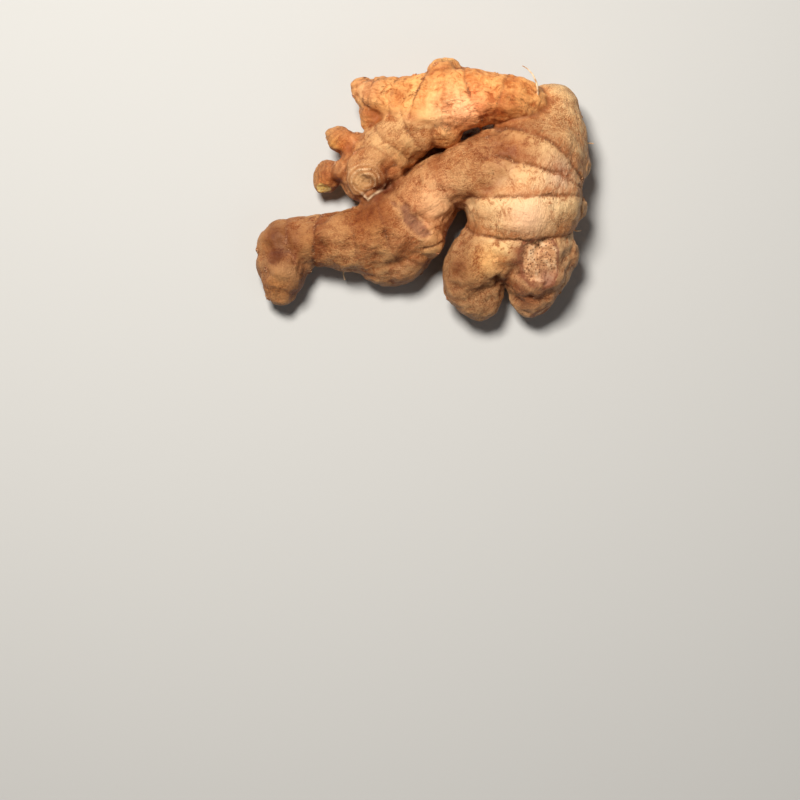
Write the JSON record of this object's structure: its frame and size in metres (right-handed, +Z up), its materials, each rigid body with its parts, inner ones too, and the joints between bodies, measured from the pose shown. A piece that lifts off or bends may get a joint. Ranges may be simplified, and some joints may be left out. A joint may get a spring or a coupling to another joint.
{
  "type": "ginger root",
  "caption": "One hand of fresh ginger rhizome: a thick knobbly main stem with two long fingers, short buds and stubs, lying flat.",
  "frame": {"origin": "on the table, under the middle of the rhizome's outline", "axes": "+Z up from the table; +X from the finger tips to the thick main stem; +Y from the lower finger to the upper finger"},
  "size_m": [0.0934, 0.0706, 0.0282],
  "materials": {
    "ginger_skin": null
  },
  "bodies": {
    "root": {"ginger_rhizome": "ginger_skin"}
  },
  "joints": []
}
